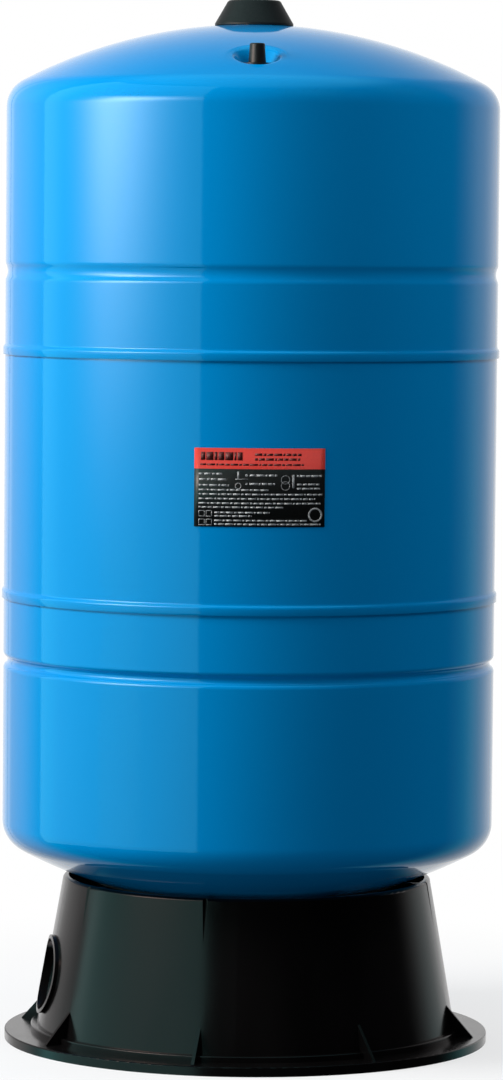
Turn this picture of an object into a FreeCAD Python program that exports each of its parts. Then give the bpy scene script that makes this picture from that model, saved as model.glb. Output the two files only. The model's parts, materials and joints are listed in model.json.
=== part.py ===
import FreeCAD, Part
import math
import os
import Sketcher

# Vertical well pressure tank, precharged, with a diaphragm. Millimetres, Z up.
# The origin is on the floor, at the middle of the stand. The front is towards -Y.
# An azimuth is counted from the front towards +X.

doc = FreeCAD.newDocument("well_pressure_tank")
sheet = doc.addObject("Spreadsheet::Sheet", "Sizes")

# Driving dimensions: name, number, what it is
DRIVING = [
    ("shell_diameter", 390, "outside of the steel shell"),
    ("shell_wall", 1.5, "sheet of all three shells"),
    ("crown_radius", 388, "outside radius of both domes"),
    ("knuckle_radius", 24, "outside radius between dome and cylinder"),
    ("lower_straight", 177.5, "lower shell from its dome to the middle shell's edge"),
    ("middle_length", 192.5, "middle shell from its edge to the upper shell's edge"),
    ("upper_straight", 194.5, "upper shell from its edge to its dome"),
    ("lap_height", 9, "height of each swaged end"),
    ("lap_blend", 4, "part of that height that leads back to the wall"),
    ("lap_gap", 0.1, "play between the lapped shells"),
    ("lap_reserve", 0.5, "play above a shell's upper edge in its lap"),
    ("bead_rise", 65.5, "middle of the shallow groove above the upper shell's edge"),
    ("bead_depth", 1.7, "depth of the shallow groove"),
    ("bead_width", 16, "width of the shallow groove"),
    ("bead_shoulder", 8, "outside radius of its shoulders"),
    ("clench_drop", 49.5, "middle of the deep groove below the middle shell's edge"),
    ("clench_depth", 3.3, "depth of the deep groove"),
    ("clench_width", 13.5, "width of the deep groove"),
    ("clench_shoulder", 4.5, "outside radius of its shoulders"),
    ("connection_seat", 36, "radius of the flat at the bottom of the lower dome"),
    ("connection_hole", 17, "radius of the hole in that flat"),
    ("layer_gap", 0.1, "play between shell, liner, diaphragm and ring"),
    ("liner_wall", 1.2, "sheet of the liner"),
    ("liner_reach", 13, "liner above the middle of the deep groove"),
    ("diaphragm_reach", 14.5, "diaphragm above the middle of the deep groove"),
    ("diaphragm_wall", 2.5, "thickness of the diaphragm"),
    ("diaphragm_squeeze", 0.8, "how much the groove thins the diaphragm"),
    ("diaphragm_lift", 0.8, "play of the diaphragm above the inlet fitting"),
    ("ring_wall", 2, "sheet of the clench ring"),
    ("ring_shoulder", 2.5, "outside radius of the ring's groove"),
    ("ring_height", 25, "height of the clench ring"),
    ("boss_shank", 9, "radius of the crown boss in the shell"),
    ("boss_flange", 14, "radius of the crown boss on the shell"),
    ("boss_flange_height", 3, "height of that flange at its rim"),
    ("boss_inner", 2, "crown boss inside the shell"),
    ("boss_head", 8, "radius of the crown boss in its cap"),
    ("boss_height", 16, "height of the crown boss above the crown"),
    ("cap_radius", 31, "base of the crown cap"),
    ("cap_edge", 1.5, "upright edge of the crown cap"),
    ("cap_shoulder", 21.6, "radius of the crown cap under its top round"),
    ("cap_shoulder_height", 17.8, "height of that radius above the base"),
    ("cap_flat", 18.4, "radius of the crown cap's flat top"),
    ("cap_height", 19.9, "height of the crown cap"),
    ("cap_round", 3.2, "radius of its top round"),
    ("cap_wall", 2, "wall of the crown cap"),
    ("cap_play", 0.3, "play between a removable cap and what it sits on"),
    ("cap_tube", 1.5, "wall of the tube in the cap that grips the boss"),
    ("valve_azimuth", 1, "azimuth of the air valve"),
    ("valve_inset", 45, "air valve in from the outside of the shell"),
    ("dimple_front", 0.2, "depth of the pressed flat under the valve where it is least"),
    ("dimple_radius", 15, "radius where the line of its wall meets that flat"),
    ("dimple_draft", 20, "slope of its wall in degrees"),
    ("dimple_round", 2, "inside round at the flat"),
    ("dimple_rim", 1.5, "outside round where the wall meets the dome"),
    ("punch_height", 45, "height of the form that presses the flat"),
    ("drill_reach", 20, "how far a drill passes the sheet"),
    ("stem_radius", 3.85, "outside of the valve stem's thread"),
    ("stem_play", 0.2, "play of the stem in its hole"),
    ("stem_top", 13, "stem above the pressed flat"),
    ("stem_tail", 10, "stem below the pressed flat"),
    ("stem_flange", 10, "radius of the stem's inner flange"),
    ("stem_flange_height", 3, "thickness of that flange"),
    ("tail_radius", 4.6, "outside of the stem's tail"),
    ("tail_bore", 2.2, "bore of the stem's tail"),
    ("seal_height", 1.5, "thickness of the valve seal"),
    ("seal_inset", 0.5, "seal inside the edge of the stem's flange"),
    ("washer_radius", 12.5, "radius of the washer under the dust cap"),
    ("washer_height", 1.4, "thickness of that washer"),
    ("nut_flats", 9.5, "width of the valve nut across its flats"),
    ("nut_height", 3, "height of the valve nut"),
    ("dust_cap_base", 6.75, "radius of the dust cap at its base"),
    ("dust_cap_top", 5.75, "radius of the dust cap at its top"),
    ("dust_cap_height", 14.8, "height of the dust cap"),
    ("dust_cap_round", 1, "round at its top"),
    ("dust_cap_roof", 2.2, "thickness of its roof"),
    ("cap_seal_height", 1, "thickness of the seal in the dust cap"),
    ("core_bore", 2.7, "radius of the bore that holds the core"),
    ("core_plug", 2.6, "radius of the core's threaded head"),
    ("core_plug_height", 4.3, "height of that head"),
    ("core_depth", 0.5, "core below the stem's mouth"),
    ("core_barrel", 2, "radius of the core's barrel"),
    ("core_barrel_length", 10, "length of that barrel"),
    ("core_barrel_bore", 1.6, "radius of the bore for the spring"),
    ("core_ledge", 1.2, "floor of the barrel, under the spring"),
    ("pin_radius", 0.5, "radius of the core's pin"),
    ("pin_play", 0.4, "air way round the pin"),
    ("pin_collar", 1.3, "radius of the collar that the spring lifts"),
    ("pin_collar_height", 0.6, "thickness of that collar"),
    ("pin_collar_drop", 1, "collar below the core's head"),
    ("cup_radius", 1.9, "radius of the core's rubber seat"),
    ("cup_height", 1.8, "thickness of that seat"),
    ("spring_radius", 1.15, "middle radius of the spring"),
    ("spring_wire", 0.25, "diameter of the spring's wire"),
    ("spring_turns", 6, "turns of the spring"),
    ("core_ring_height", 1.5, "height of the core's sealing ring"),
    ("core_ring_lift", 3, "that ring above the end of the barrel"),
    ("inlet_flange", 28, "radius of the inlet fitting's flange"),
    ("inlet_flange_height", 4, "thickness of that flange"),
    ("inlet_shank", 16.6, "radius of its threaded sleeve"),
    ("inlet_bore", 13, "radius of its bore"),
    ("gasket_height", 2, "thickness of both gaskets"),
    ("elbow_flange", 32, "radius of the elbow's flange"),
    ("elbow_flange_height", 6, "thickness of that flange"),
    ("elbow_socket", 21.5, "radius of the elbow's upper socket"),
    ("elbow_socket_depth", 19.5, "depth of that socket"),
    ("socket_floor", 2, "floor of that socket, where the sleeve ends"),
    ("elbow_bend", 30, "radius of the elbow's bend"),
    ("pipe_radius", 16.85, "outside of the elbow's tube"),
    ("pipe_bore", 14.2, "inside of the elbow's tube"),
    ("port_azimuth", -80, "azimuth of the side port"),
    ("port_height", 53.3, "height of the side port and the outlet"),
    ("mouth_inset", 15.3, "mouth of the coupling inside the stand's wall"),
    ("coupling_length", 40, "length of the coupling"),
    ("coupling_flats", 41, "width of the coupling across its flats"),
    ("thread_bore", 15.2, "radius inside the 1 inch pipe thread"),
    ("thread_length", 20, "length of that thread"),
    ("thread_lead", 1.5, "chamfer at its mouth"),
    ("coupling_stop", 2, "land between tube and thread"),
    ("stand_height", 130, "height of the stand's rim"),
    ("rim_inset", 49, "outside of the stand's rim in from the outside of the shell"),
    ("rim_gap", 6.3, "lower dome above that rim"),
    ("stand_draft", 9.9, "slope of the stand's wall in degrees"),
    ("stand_wall", 4, "thickness of the stand's wall"),
    ("rim_round", 3, "round at the rim"),
    ("step_width", 2.8, "step beyond the foot of the wall"),
    ("step_height", 12, "top of that step"),
    ("step_round", 1.2, "round along its edge"),
    ("flange_width", 23.7, "stand's flange beyond the foot of the wall"),
    ("flange_top", 7.3, "top of the flange"),
    ("flange_plate", 3.5, "thickness of the flange"),
    ("flange_lip", 3.5, "thickness of the flange's turned-down edge"),
    ("edge_round", 0.8, "round at the flange's edge"),
    ("rib_count", 8, "gussets, flutes and webs round the stand"),
    ("rib_azimuth", -12.5, "azimuth of the first of them"),
    ("gusset_top", 35, "top of a gusset in the middle of the wall"),
    ("gusset_inset", 7.4, "end of a gusset inside the flange's edge"),
    ("gusset_wall", 2.5, "thickness of a gusset"),
    ("flute_length", 35, "length of a flute under the rim"),
    ("flute_depth", 1.8, "depth of a flute at the rim"),
    ("flute_width", 4.5, "width of a flute at the rim"),
    ("flute_reach", 4, "how far the flute's cutter stands out of its point"),
    ("flute_rise", 1.5, "how far the flute's cutter passes the rim"),
    ("seat_inset", 30, "inside of the ring that the dome stands on, in from the rim"),
    ("seat_clearance", 2.7, "that ring above the side port"),
    ("web_wall", 3, "thickness of a web"),
    ("seat_wall", 5, "thickness of that ring"),
    ("bead_thickness", 1, "adhesive between that ring and the dome"),
    ("web_drop", 1.5, "webs below the rim"),
    ("web_clearance", 0.6, "webs below the top of the seat ring"),
    ("port_radius", 28, "radius of the side port"),
    ("port_lip", 3, "wall of the port's lip"),
    ("port_rise", 3, "how far the lip stands out of the wall"),
    ("port_margin", 10, "how far the port's cutters and band pass what they cut"),
    ("label_width", 100, "width of the label round the shell"),
    ("label_height", 59.5, "height of the label"),
    ("label_rise", 97.2, "label's middle above the middle shell's edge"),
    ("label_azimuth", 2.2, "azimuth of the label's middle"),
    ("label_film", 0.3, "thickness of the label"),
    ("label_glue", 0.2, "adhesive under the label"),
]
for row, (name, number, meaning) in enumerate(DRIVING, start=1):
    sheet.set("A%d" % row, name)
    sheet.set("B%d" % row, str(number))
    sheet.setAlias("B%d" % row, name)
    sheet.set("C%d" % row, meaning)
doc.recompute()


class Size:
    """A number together with the sheet formula that gives it."""

    def __init__(self, number, formula):
        self.number = number
        self.formula = formula

    def __add__(self, other):
        return combined(self, "+", other)

    def __radd__(self, other):
        return combined(other, "+", self)

    def __sub__(self, other):
        return combined(self, "-", other)

    def __rsub__(self, other):
        return combined(other, "-", self)

    def __mul__(self, other):
        return combined(self, "*", other)

    def __rmul__(self, other):
        return combined(other, "*", self)

    def __truediv__(self, other):
        return combined(self, "/", other)

    def __neg__(self):
        return combined(0, "-", self)


def as_size(value):
    if isinstance(value, Size):
        return value
    return Size(float(value), str(value))


def combined(left, sign, right):
    left = as_size(left)
    right = as_size(right)
    formula = "(%s %s %s)" % (left.formula, sign, right.formula)
    if sign == "+":
        return Size(left.number + right.number, formula)
    if sign == "-":
        return Size(left.number - right.number, formula)
    if sign == "*":
        return Size(left.number * right.number, formula)
    return Size(left.number / right.number, formula)


def root(size):
    return Size(math.sqrt(size.number), "sqrt(%s)" % size.formula)


def tangent(degrees):
    return Size(math.tan(math.radians(degrees.number)), "tan(%s)" % degrees.formula)


def sine(degrees):
    return Size(math.sin(math.radians(degrees.number)), "sin(%s)" % degrees.formula)


def cosine(degrees):
    return Size(math.cos(math.radians(degrees.number)), "cos(%s)" % degrees.formula)


def turn_of(length, radius):
    """Degrees that a length takes up on a circle."""
    share = length / radius
    return Size(math.degrees(share.number), "(%s * 180 / pi)" % share.formula)


def side_of_triangle(longest, other):
    """The third side of a right-angled triangle."""
    return root(longest * longest - other * other)


S = {name: Size(float(number), "Sizes." + name) for name, number, meaning in DRIVING}

LEFT = 1
RIGHT = -1


def new_body(name):
    body = doc.addObject("PartDesign::Body", name)
    body.Label = name
    return body


def origin_feature(body, role):
    for feature in body.Origin.OriginFeatures:
        if feature.Role == role:
            return feature
    raise RuntimeError("no " + role)


def bind(item, prop, size):
    item.setExpression(prop, as_size(size).formula)


def arc_between(start, end, radius, turn):
    """Circle arc from start to end that turns left or right, less than half a circle."""
    half = (end - start) * 0.5
    rise = math.sqrt(max(radius * radius - half.Length ** 2, 0))
    across = FreeCAD.Vector(-half.y, half.x, 0).normalize() * rise * turn
    centre = start + half + across
    first, last = (start, end) if turn == LEFT else (end, start)
    angle_first = math.atan2(first.y - centre.y, first.x - centre.x)
    angle_last = math.atan2(last.y - centre.y, last.x - centre.x)
    circle = Part.Circle(centre, FreeCAD.Vector(0, 0, 1), radius)
    return Part.ArcOfCircle(circle, angle_first, angle_last)


def new_sketch(body, name, role, lift=0, swing=0):
    """Empty sketch on a plane of its body, lifted off it or swung about its upright axis."""
    sketch = body.newObject("Sketcher::SketchObject", name)
    sketch.AttachmentSupport = [(origin_feature(body, role), "")]
    sketch.MapMode = "FlatFace"
    if swing:
        upright = FreeCAD.Rotation(FreeCAD.Vector(0, 1, 0), swing)
        sketch.AttachmentOffset = FreeCAD.Placement(FreeCAD.Vector(), upright)
    if as_size(lift).number:
        bind(sketch, "AttachmentOffset.Base.z", lift)
    return sketch


def spot(item):
    return FreeCAD.Vector(as_size(item[0]).number, as_size(item[1]).number, 0)


def add_edge(sketch, start, end, bend, rules):
    """Adds a straight edge, or an arc where bend holds a radius and a turn.

    Returns how the sketch numbers the edge's start and end.
    """
    if not bend:
        sketch.addGeometry(Part.LineSegment(start, end), False)
        return 1, 2
    radius = as_size(bend[0])
    number = sketch.addGeometry(arc_between(start, end, radius.number, bend[1]), False)
    rules.append((Sketcher.Constraint("Radius", number, radius.number), radius.formula))
    return (1, 2) if bend[1] == LEFT else (2, 1)


def hold(geometry, end, item):
    """Constraints that keep a point at its x and y, each with the formula that drives it."""
    rules = []
    for word, axis, value in (("DistanceX", -2, item[0]), ("DistanceY", -1, item[1])):
        value = as_size(value)
        if value.formula == "0":
            rules.append((Sketcher.Constraint("PointOnObject", geometry, end, axis), None))
        else:
            rule = Sketcher.Constraint(word, -1, 1, geometry, end, value.number)
            rules.append((rule, value.formula))
    return rules


def constrain(sketch, rules):
    sketch.addConstraint([rule for rule, formula in rules])
    for index, (rule, formula) in enumerate(rules):
        if formula:
            sketch.setExpression("Constraints[%d]" % index, formula)


def outline(body, name, role, path, lift=0, swing=0, closed=True):
    """Sketch of lines and arcs. A path item is (x, y), or (x, y, radius, turn) where an arc ends."""
    sketch = new_sketch(body, name, role, lift, swing)
    spots = [spot(item) for item in path]
    first = 0 if closed else 1
    rules = []
    ends = []
    for index in range(first, len(path)):
        ends.append(add_edge(sketch, spots[index - 1], spots[index], path[index][2:], rules))
    for edge, (start, arrival) in enumerate(ends):
        following = (edge + 1) % len(ends)
        if closed or following:
            meeting = Sketcher.Constraint("Coincident", edge, arrival, following, ends[following][0])
            rules.append((meeting, None))
        rules += hold(edge, arrival, path[edge + first])
    if not closed:
        rules += hold(0, ends[0][0], path[0])
    constrain(sketch, rules)
    return sketch


def circle_sketch(body, name, role, radius, lift=0, centre=(0, 0)):
    sketch = new_sketch(body, name, role, lift)
    radius = as_size(radius)
    sketch.addGeometry(Part.Circle(spot(centre), FreeCAD.Vector(0, 0, 1), radius.number), False)
    size = Sketcher.Constraint("Radius", 0, radius.number)
    constrain(sketch, [(size, radius.formula)] + hold(0, 3, centre))
    return sketch


def revolve(body, sketch, kind="PartDesign::Revolution", axis="V_Axis"):
    feature = body.newObject(kind, sketch.Name + "_turned")
    feature.Profile = sketch
    feature.ReferenceAxis = (sketch, [axis])
    feature.Angle = 360
    sketch.Visibility = False
    return feature


def pad(body, sketch, length, both_ways=False):
    feature = body.newObject("PartDesign::Pad", sketch.Name + "_pad")
    feature.Profile = sketch
    bind(feature, "Length", length)
    feature.Midplane = both_ways
    return feature


def turned_piece(name, path):
    """A piece that is one closed profile turned about the Z axis."""
    body = new_body(name)
    revolve(body, outline(body, name + "_profile", "XZ_Plane", path))
    return body


def place(item, x=0, y=0, z=0, turn=0):
    """Puts an object at a point of the tank and turns it about Z by so many degrees."""
    bind(item, "Placement.Base.x", x)
    bind(item, "Placement.Base.y", y)
    bind(item, "Placement.Base.z", z)
    item.Placement.Rotation = FreeCAD.Rotation(FreeCAD.Vector(0, 0, 1), as_size(turn).number)
    bind(item, "Placement.Rotation.Angle", turn)


def backwards(path):
    """The same line run the other way."""
    result = [path[-1][:2]]
    for index in range(len(path) - 1, 0, -1):
        bend = path[index][2:]
        if bend:
            result.append(path[index - 1][:2] + (bend[0], -bend[1]))
        else:
            result.append(path[index - 1][:2])
    return result


def swaged_end(wall_line, edge, inset):
    """Lower end of a shell that is widened over the shell below, from its edge upwards."""
    step = S["lap_gap"] + S["shell_wall"]
    rise = S["lap_blend"]
    both = (step * step + rise * rise) / (2 * step)
    first = both / 2 - inset
    share = first / both
    blend_start = edge + S["lap_height"] - rise
    return [
        (wall_line + step, edge),
        (wall_line + step, blend_start),
        (wall_line + step - step * share, blend_start + rise * share, first, LEFT),
        (wall_line, edge + S["lap_height"], both - first, RIGHT),
    ]


def rolled_groove(wall_line, middle, depth, width, shoulder):
    """Groove rolled into a wall, from below upwards: shoulder, floor, shoulder."""
    rise = width / 2
    both = (depth * depth + rise * rise) / (2 * depth)
    share = shoulder / both
    return [
        (wall_line, middle - rise),
        (wall_line - depth * share, middle - rise + rise * share, shoulder, LEFT),
        (wall_line - depth * share, middle + rise - rise * share, both - shoulder, RIGHT),
        (wall_line, middle + rise, shoulder, LEFT),
    ]


# Lines that several pieces share
shell_radius = S["shell_diameter"] / 2
knuckle_line = shell_radius - S["knuckle_radius"]
crown_arm = S["crown_radius"] - S["knuckle_radius"]
dome_depth = S["crown_radius"] - side_of_triangle(crown_arm, knuckle_line)
rim_radius = shell_radius - S["rim_inset"]
lower_centre = S["stand_height"] + S["rim_gap"] + side_of_triangle(S["crown_radius"], rim_radius)
bottom_tangent = lower_centre - S["crown_radius"] + dome_depth
lower_lap = bottom_tangent + S["lower_straight"]
upper_lap = lower_lap + S["middle_length"]
top_tangent = upper_lap + S["upper_straight"]
bead_height = upper_lap + S["bead_rise"]
clench_height = lower_lap - S["clench_drop"]
crown_top = top_tangent + dome_depth
upper_centre = crown_top - S["crown_radius"]
connection_floor = lower_centre - side_of_triangle(S["crown_radius"], S["connection_seat"])
lap_overlap = S["lap_height"] - S["lap_blend"] - S["lap_reserve"]
valve_offset = shell_radius - S["valve_inset"]
valve_x = valve_offset * sine(S["valve_azimuth"])
valve_y = -(valve_offset * cosine(S["valve_azimuth"]))
dimple_floor = (upper_centre - S["dimple_front"]
                + side_of_triangle(S["crown_radius"], valve_offset + S["dimple_radius"]))

# Turns the X axis, along which pieces are drawn, to an azimuth of 0
QUARTERS = 270
# Keeps the seam of a turned form away from the ribs
SEAM = 10
# Two heights closer than this are the same
TOUCH = 0.001
# What lies in the lower dome, from the shell inwards
liner_inset = S["shell_wall"] + S["layer_gap"]
liner_floor = connection_floor + liner_inset
diaphragm_inset = liner_inset + S["liner_wall"] + S["layer_gap"]
diaphragm_floor = (liner_floor + S["liner_wall"] + S["gasket_height"] + S["inlet_flange_height"]
                   + S["diaphragm_lift"])


def stand_line(height):
    """Outside of the stand's wall at a height."""
    return rim_radius + (S["stand_height"] - height) * tangent(S["stand_draft"])


foot_radius = stand_line(0)
stand_across = S["stand_wall"] / cosine(S["stand_draft"])
flange_radius = foot_radius + S["flange_width"]
seat_radius = rim_radius - S["seat_inset"]
seat_bottom = S["port_height"] + S["port_radius"] + S["seat_clearance"]
outlet_reach = stand_line(S["port_height"]) - stand_across - S["mouth_inset"]


def upper_line(inset):
    """Outside of the upper shell from its lower edge to the crown, moved in by inset."""
    wall_line = shell_radius - inset
    reach = (S["crown_radius"] - inset) / crown_arm
    line = swaged_end(wall_line, upper_lap, inset)
    line += rolled_groove(wall_line, bead_height, S["bead_depth"], S["bead_width"],
                          S["bead_shoulder"] - inset)
    line += [
        (wall_line, top_tangent),
        (knuckle_line * reach, upper_centre + (top_tangent - upper_centre) * reach,
         S["knuckle_radius"] - inset, LEFT),
        (0, crown_top - inset, S["crown_radius"] - inset, LEFT),
    ]
    return line


def lower_line(inset, inner_radius, floor, top, depth, shoulder):
    """Line in the lower dome from a flat floor outwards and up the wall, moved in by inset."""
    wall_line = shell_radius - inset
    radius = S["crown_radius"] - inset
    reach = radius / crown_arm
    flat = side_of_triangle(radius, lower_centre - floor)
    line = [
        (inner_radius, floor),
        (flat, floor),
        (knuckle_line * reach, lower_centre - (lower_centre - bottom_tangent) * reach,
         radius, LEFT),
        (wall_line, bottom_tangent, S["knuckle_radius"] - inset, LEFT),
    ]
    line += rolled_groove(wall_line, clench_height, depth, S["clench_width"], shoulder)
    line += [(wall_line, top)]
    return line


def round_off(body, name, radius, chosen):
    """Rounds the edges of the body's last feature that the test picks."""
    doc.recompute()
    base = body.Tip
    names = []
    for number, edge in enumerate(base.Shape.Edges, start=1):
        if chosen(edge):
            names.append("Edge%d" % number)
    feature = body.newObject("PartDesign::Fillet", name)
    feature.Base = (base, names)
    bind(feature, "Radius", radius)
    return feature


def drill(name, radius, x, y, middle):
    """Upright cylinder that cuts a hole through a sheet at the height of its middle."""
    cylinder = doc.addObject("Part::Cylinder", name)
    bind(cylinder, "Radius", radius)
    bind(cylinder, "Height", 2 * S["drill_reach"])
    bind(cylinder, "Placement.Base.x", x)
    bind(cylinder, "Placement.Base.y", y)
    bind(cylinder, "Placement.Base.z", middle - S["drill_reach"])
    return cylinder


def punch_line(inset):
    """Half outline of the form that presses the flat, moved down and out by inset."""
    floor = dimple_floor - inset
    slope = tangent(S["dimple_draft"])
    foot = S["dimple_radius"] + inset / cosine(S["dimple_draft"]) - inset * slope
    corner = S["dimple_round"] + inset
    reach = corner * tangent((90 - S["dimple_draft"]) / 2)
    return [
        (0, floor),
        (foot - reach, floor),
        (foot + reach * sine(S["dimple_draft"]), floor + reach * cosine(S["dimple_draft"]), corner, LEFT),
        (foot + slope * S["punch_height"], floor + S["punch_height"]),
        (0, floor + S["punch_height"]),
    ]


def make_upper_shell():
    """Outer form less inner form, each with the pressed flat, so the sheet is even."""
    forms = []
    for name, inset in (("upper_outside", as_size(0)), ("upper_inside", S["shell_wall"])):
        body = new_body(name)
        line = upper_line(inset)
        line.append((0, upper_lap))
        revolve(body, outline(body, name + "_profile", "XZ_Plane", line))
        punch = outline(body, name + "_punch", "XZ_Plane", punch_line(inset), lift=-valve_y)
        bind(punch, "AttachmentOffset.Base.x", valve_x)
        revolve(body, punch, "PartDesign::Groove")
        forms.append(body)
    round_off(forms[0], "dimple_lip", S["dimple_rim"], is_dimple_rim)
    blank = doc.addObject("Part::Cut", "upper_blank")
    blank.Base, blank.Tool = forms
    holes = doc.addObject("Part::MultiFuse", "upper_holes")
    holes.Shapes = [
        drill("crown_hole", S["boss_shank"] + S["layer_gap"], 0, 0, crown_top),
        drill("valve_hole", S["stem_radius"] + S["stem_play"], valve_x, valve_y, dimple_floor),
    ]
    shell = doc.addObject("Part::Cut", "upper_shell")
    shell.Base = blank
    shell.Tool = holes
    return shell


def is_dimple_rim(edge):
    """True for an edge off the tank's axis that climbs far along the dome."""
    box = edge.BoundBox
    wide = box.XLength > S["dimple_radius"].number
    return box.YMax < 0 and wide and box.ZLength > S["dimple_round"].number


def make_middle_shell():
    top = upper_lap + lap_overlap
    wall = S["shell_wall"]
    outside = swaged_end(shell_radius, lower_lap, as_size(0)) + [(shell_radius, top)]
    inside = swaged_end(shell_radius - wall, lower_lap, wall) + [(shell_radius - wall, top)]
    return turned_piece("middle_shell", outside + backwards(inside))


def make_lower_shell():
    top = lower_lap + lap_overlap
    wall = S["shell_wall"]
    hole = S["connection_hole"]
    shoulder = S["clench_shoulder"]
    outside = lower_line(as_size(0), hole, connection_floor, top, S["clench_depth"], shoulder)
    inside = lower_line(wall, hole, connection_floor + wall, top, S["clench_depth"], shoulder - wall)
    return turned_piece("lower_shell", outside + backwards(inside))


def make_water_liner():
    top = clench_height + S["liner_reach"]
    hole = S["inlet_shank"] + S["layer_gap"]
    shoulder = S["clench_shoulder"]
    outside = lower_line(liner_inset, hole, liner_floor, top, S["clench_depth"], shoulder - liner_inset)
    inner = liner_inset + S["liner_wall"]
    inside = lower_line(inner, hole, liner_floor + S["liner_wall"], top, S["clench_depth"],
                        shoulder - inner)
    return turned_piece("water_liner", outside + backwards(inside))


def make_diaphragm():
    """Rests on the liner, as it does while the tank holds no water."""
    top = clench_height + S["diaphragm_reach"]
    inner = diaphragm_inset + S["diaphragm_wall"]
    outside = lower_line(diaphragm_inset, as_size(0), diaphragm_floor, top, S["clench_depth"],
                         S["clench_shoulder"] - diaphragm_inset)
    inside = lower_line(inner, as_size(0), diaphragm_floor + S["diaphragm_wall"], top,
                        S["clench_depth"] - S["diaphragm_squeeze"], S["ring_shoulder"] + S["layer_gap"])
    return turned_piece("diaphragm", outside + backwards(inside))


def make_clench_ring():
    low = clench_height - S["ring_height"] / 2
    high = clench_height + S["ring_height"] / 2
    sides = []
    for inset in (as_size(0), S["ring_wall"]):
        wall_line = shell_radius - diaphragm_inset - S["diaphragm_wall"] - S["layer_gap"] - inset
        groove = rolled_groove(wall_line, clench_height, S["clench_depth"] - S["diaphragm_squeeze"],
                               S["clench_width"], S["ring_shoulder"] - inset)
        sides.append([(wall_line, low)] + groove + [(wall_line, high)])
    return turned_piece("clench_ring", sides[0] + backwards(sides[1]))


def ring_path(inner, outer, low, high):
    return [(inner, low), (outer, low), (outer, high), (inner, high)]


def dome_height(radius, distance):
    """Height of a line that runs under the lower dome at a distance, so far from the axis."""
    return lower_centre - side_of_triangle(S["crown_radius"] + distance, radius)


def make_inlet():
    """Gasket, fitting and outer gasket, stacked on the flat of the lower dome."""
    gasket_low = liner_floor + S["liner_wall"]
    flange_low = gasket_low + S["gasket_height"]
    flange_high = flange_low + S["inlet_flange_height"]
    shank_low = connection_floor - S["gasket_height"] - S["elbow_socket_depth"] + S["socket_floor"]
    hole = S["inlet_shank"] + S["layer_gap"]
    gasket = turned_piece("inlet_gasket", ring_path(hole, S["inlet_flange"], gasket_low, flange_low))
    fitting = turned_piece("inlet_fitting", [
        (S["inlet_bore"], shank_low),
        (S["inlet_shank"], shank_low),
        (S["inlet_shank"], flange_low),
        (S["inlet_flange"], flange_low),
        (S["inlet_flange"], flange_high),
        (S["inlet_bore"], flange_high),
    ])
    outer = turned_piece("elbow_gasket", ring_path(hole, S["elbow_flange"],
                                                   connection_floor - S["gasket_height"], connection_floor))
    return [gasket, fitting, outer]


def make_water_elbow():
    """Bent tube with a socket and flange under the tank, turned towards the side port."""
    body = new_body("water_elbow")
    top = connection_floor - S["gasket_height"]
    flange_low = top - S["elbow_flange_height"]
    socket_low = top - S["elbow_socket_depth"]
    tube_end = outlet_reach - S["thread_length"] - S["coupling_stop"]
    path = outline(body, "elbow_run", "XZ_Plane", [
        (0, top),
        (0, S["port_height"] + S["elbow_bend"]),
        (S["elbow_bend"], S["port_height"], S["elbow_bend"], LEFT),
        (tube_end, S["port_height"]),
    ], closed=False)
    revolve(body, outline(body, "elbow_flange_profile", "XZ_Plane", [
        (0, socket_low),
        (S["elbow_socket"], socket_low),
        (S["elbow_socket"], flange_low),
        (S["elbow_flange"], flange_low),
        (S["elbow_flange"], top),
        (0, top),
    ]))
    edges = ["Edge1", "Edge2", "Edge3"]
    for name, kind, radius in (("elbow_tube", "PartDesign::AdditivePipe", S["pipe_radius"]),
                               ("elbow_bore", "PartDesign::SubtractivePipe", S["pipe_bore"])):
        ring = circle_sketch(body, name + "_section", "XY_Plane", radius, lift=top)
        pipe = body.newObject(kind, name)
        pipe.Profile = ring
        pipe.Spine = (path, edges)
    room = ring_path(as_size(0), S["inlet_shank"] + S["layer_gap"], socket_low + S["socket_floor"], top)
    revolve(body, outline(body, "elbow_socket_profile", "XZ_Plane", room), "PartDesign::Groove")
    place(body, turn=S["port_azimuth"] + QUARTERS)
    return body


def hexagon(flats):
    """Corners of a hexagon with two flats across Y, from the width across its flats."""
    corner = flats / root(as_size(3))
    return [
        (corner, 0),
        (corner / 2, flats / 2),
        (-corner / 2, flats / 2),
        (-corner, 0),
        (-corner / 2, -flats / 2),
        (corner / 2, -flats / 2),
    ]


def make_outlet_coupling():
    body = new_body("outlet_coupling")
    start = outlet_reach - S["coupling_length"]
    thread = outlet_reach - S["thread_length"]
    sketch = outline(body, "coupling_section", "YZ_Plane", hexagon(S["coupling_flats"]), lift=start)
    pad(body, sketch, S["coupling_length"])
    play = S["pipe_radius"] + S["layer_gap"]
    revolve(body, outline(body, "coupling_bore", "XZ_Plane", [
        (start, 0),
        (start, play),
        (thread - S["coupling_stop"], play),
        (thread - S["coupling_stop"], S["pipe_bore"]),
        (thread, S["pipe_bore"]),
        (thread, S["thread_bore"]),
        (outlet_reach - S["thread_lead"], S["thread_bore"]),
        (outlet_reach, S["thread_bore"] + S["thread_lead"]),
        (outlet_reach, 0),
    ]), "PartDesign::Groove", "H_Axis")
    place(body, z=S["port_height"], turn=S["port_azimuth"] + QUARTERS)
    return body


def make_crown_boss():
    inside = crown_top - S["shell_wall"] - S["boss_inner"]
    on_shell = upper_centre + side_of_triangle(S["crown_radius"], S["boss_shank"])
    rim = upper_centre + side_of_triangle(S["crown_radius"], S["boss_flange"])
    return turned_piece("crown_boss", [
        (0, inside),
        (S["boss_shank"], inside),
        (S["boss_shank"], on_shell),
        (S["boss_flange"], rim, S["crown_radius"], RIGHT),
        (S["boss_flange"], rim + S["boss_flange_height"]),
        (S["boss_head"], rim + S["boss_flange_height"]),
        (S["boss_head"], crown_top + S["boss_height"]),
        (0, crown_top + S["boss_height"]),
    ])


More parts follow.
